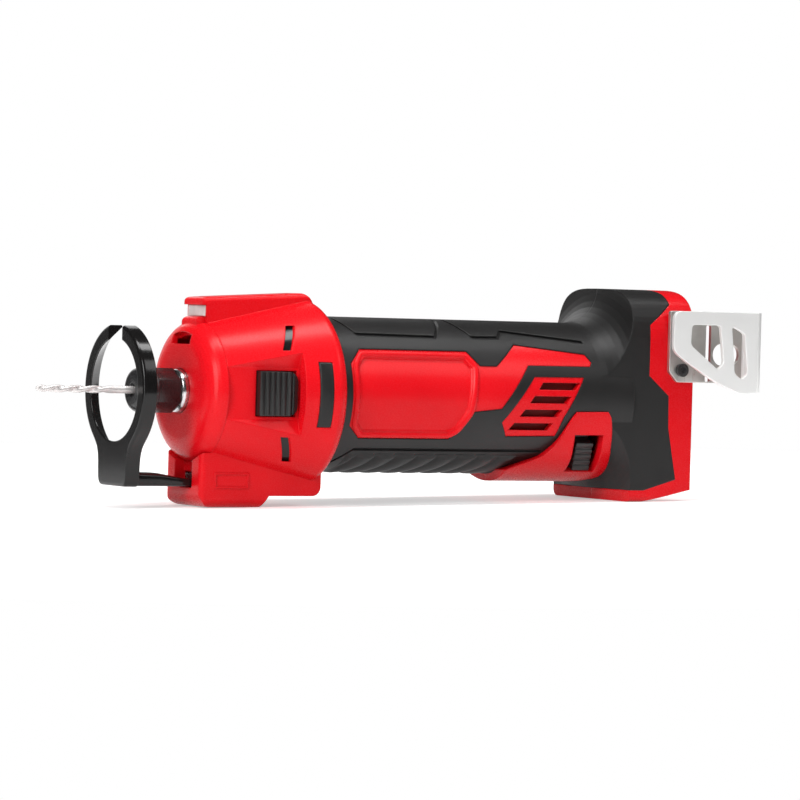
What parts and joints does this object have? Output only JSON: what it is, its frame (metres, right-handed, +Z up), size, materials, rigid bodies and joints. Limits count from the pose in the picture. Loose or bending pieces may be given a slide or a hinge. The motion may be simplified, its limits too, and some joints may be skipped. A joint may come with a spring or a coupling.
{
  "type": "drywall cut out tool",
  "caption": "Hand-held cordless cut-out tool: round rubber handle, red nose, slotted depth-guide ring, spiral bit, spindle lock, slide switch, belt hook and battery foot.",
  "frame": {"origin": "on the spindle axis, in the plane of the chin's front", "axes": "-X toward the bit, +X toward the battery foot, +Z up, -Y the side with the slide switch and belt hook"},
  "size_m": [0.329, 0.0845, 0.0958],
  "materials": {
    "red_plastic": "moulded red plastic with a fine satin grain",
    "grip_rubber": "soft dark overmould with a fine grain",
    "black_plastic": "moulded black plastic",
    "black_steel": "black oxide steel",
    "bright_steel": "ground bright steel",
    "stainless": "bent stainless sheet",
    "motor_iron": "dark motor iron and magnets",
    "copper": "copper",
    "carbon": "pressed carbon",
    "board": "printed circuit board",
    "lens": "frosted clear lens"
  },
  "bodies": {
    "tool_body": {"nose_housing": "red_plastic", "nose_cap": "red_plastic", "light_lens": "lens", "light_board": "board", "side_bumpers": "grip_rubber", "lock_spring": "bright_steel", "lock_guide": "black_plastic", "guide_spring": "bright_steel", "front_bearing_outer": "bright_steel", "front_bearing_balls": "bright_steel", "rear_bearing_outer": "bright_steel", "rear_bearing_balls": "bright_steel", "motor_can": "motor_iron", "motor_magnets": "motor_iron", "brush_carrier": "black_plastic", "carbon_brushes": "carbon", "brush_springs": "bright_steel", "left_shell": "red_plastic", "right_shell": "red_plastic", "left_grip": "grip_rubber", "right_grip": "grip_rubber", "shell_screws": "bright_steel", "switch_body": "black_plastic", "control_board": "board", "terminal_block": "black_plastic", "terminal_blades": "copper", "belt_hook": "stainless", "hook_screw": "bright_steel"},
    "spindle_group": {"spindle": "black_steel", "collet": "bright_steel", "collet_nut": "black_steel", "cutting_bit": "bright_steel", "dust_ring": "bright_steel", "lock_collar": "black_steel", "front_bearing_inner": "bright_steel", "rear_bearing_inner": "bright_steel", "cooling_fan": "black_plastic", "armature_core": "motor_iron", "armature_windings": "copper", "commutator": "copper"},
    "lock": {"lock_button": "black_plastic", "lock_pin": "bright_steel"},
    "guide": {"depth_guide": "black_plastic"},
    "switch": {"switch_slider": "black_plastic"}
  },
  "joints": [
    {"name": "spindle_spin", "type": "hinge", "parent": "tool_body", "child": "spindle_group", "pos_m": [0, 0, 0], "axis": [1, 0, 0], "continuous": true},
    {"name": "lock_press", "type": "slide", "parent": "tool_body", "child": "lock", "axis": [0, 1, 0], "range_m": [0, 0.0035], "stiffness_N_per_m": 600, "springref_m": -0.003, "deforming": ["lock_spring"]},
    {"name": "depth_slide", "type": "slide", "parent": "tool_body", "child": "guide", "axis": [1, 0, 0], "range_m": [-0.006, 0.022]},
    {"name": "switch_slide", "type": "slide", "parent": "tool_body", "child": "switch", "axis": [0.1961, -0.6037, 0.7727], "range_m": [0, 0.0045]}
  ]
}
